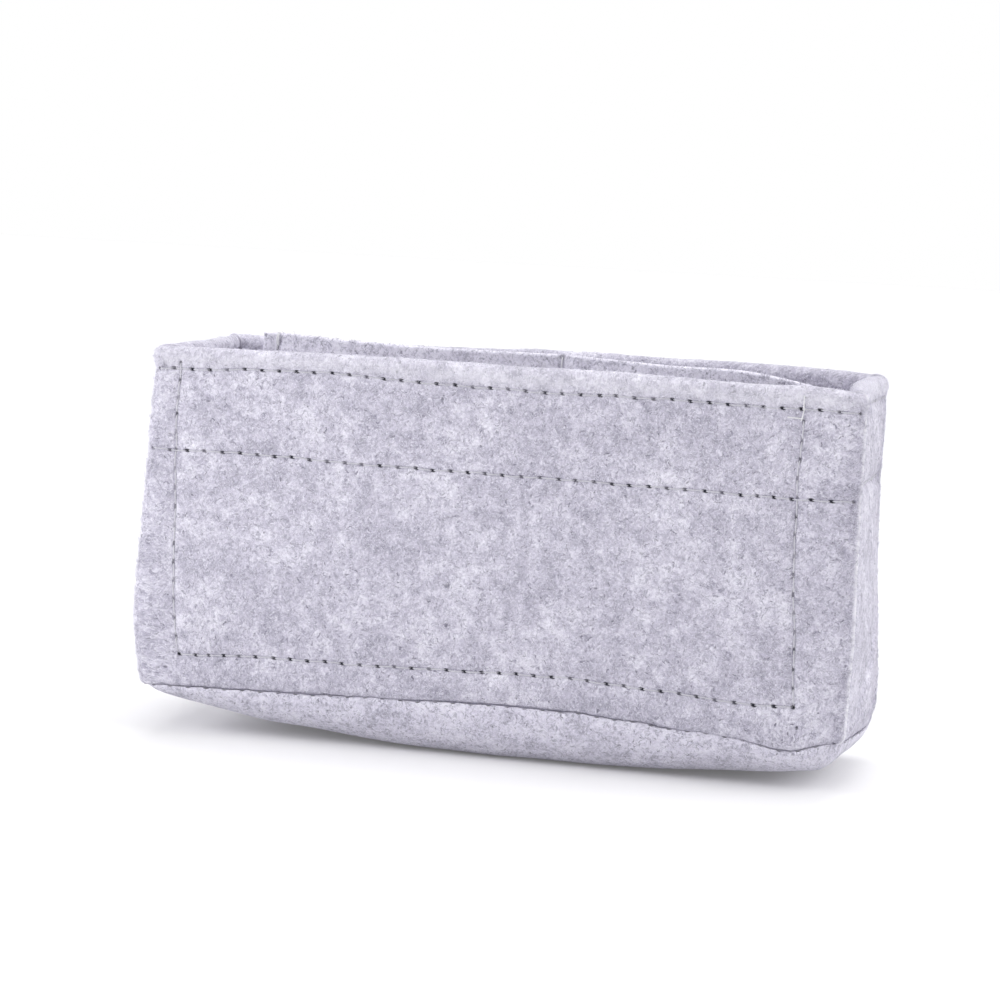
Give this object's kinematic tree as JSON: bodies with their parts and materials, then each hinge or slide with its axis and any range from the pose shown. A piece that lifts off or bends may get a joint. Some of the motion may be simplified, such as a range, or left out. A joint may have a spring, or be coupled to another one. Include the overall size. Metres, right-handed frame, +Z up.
{
  "type": "felt handbag organizer insert",
  "caption": "Open-topped rectangular felt insert with a folded, topstitched rim, sewn inner pockets on both long walls and a soft pillowed bottom, for dividing a handbag.",
  "frame": {"origin": "on the floor, under the middle of the bottom", "axes": "+X along the length to the right seen from the front, +Y from the front wall to the back wall, +Z up"},
  "size_m": [0.2072, 0.0694, 0.111],
  "materials": {
    "felt": "matte heathered needle felt",
    "sewing_thread": "matte spun thread"
  },
  "bodies": {
    "root": {"front_wall": "felt", "back_wall": "felt", "left_end_wall": "felt", "right_end_wall": "felt", "bottom_panel": "felt", "front_pocket_panel": "felt", "back_pocket_panel": "felt", "front_topstitch_needle_thread": "sewing_thread", "front_topstitch_bobbin_thread": "sewing_thread", "front_hem_stitch_needle_thread": "sewing_thread", "front_hem_stitch_bobbin_thread": "sewing_thread", "right_end_topstitch_needle_thread": "sewing_thread", "right_end_topstitch_bobbin_thread": "sewing_thread", "right_end_hem_stitch_needle_thread": "sewing_thread", "right_end_hem_stitch_bobbin_thread": "sewing_thread", "back_topstitch_needle_thread": "sewing_thread", "back_topstitch_bobbin_thread": "sewing_thread", "back_hem_stitch_needle_thread": "sewing_thread", "back_hem_stitch_bobbin_thread": "sewing_thread", "left_end_topstitch_needle_thread": "sewing_thread", "left_end_topstitch_bobbin_thread": "sewing_thread", "left_end_hem_stitch_needle_thread": "sewing_thread", "left_end_hem_stitch_bobbin_thread": "sewing_thread", "front_pocket_needle_thread": "sewing_thread", "front_pocket_bobbin_thread": "sewing_thread", "back_pocket_needle_thread": "sewing_thread", "back_pocket_bobbin_thread": "sewing_thread", "back_divider_needle_thread": "sewing_thread", "back_divider_bobbin_thread": "sewing_thread", "corner_seam_thread_front_right": "sewing_thread", "corner_seam_thread_back_right": "sewing_thread", "corner_seam_thread_back_left": "sewing_thread", "corner_seam_thread_front_left": "sewing_thread", "bottom_seam_thread": "sewing_thread"}
  },
  "joints": []
}
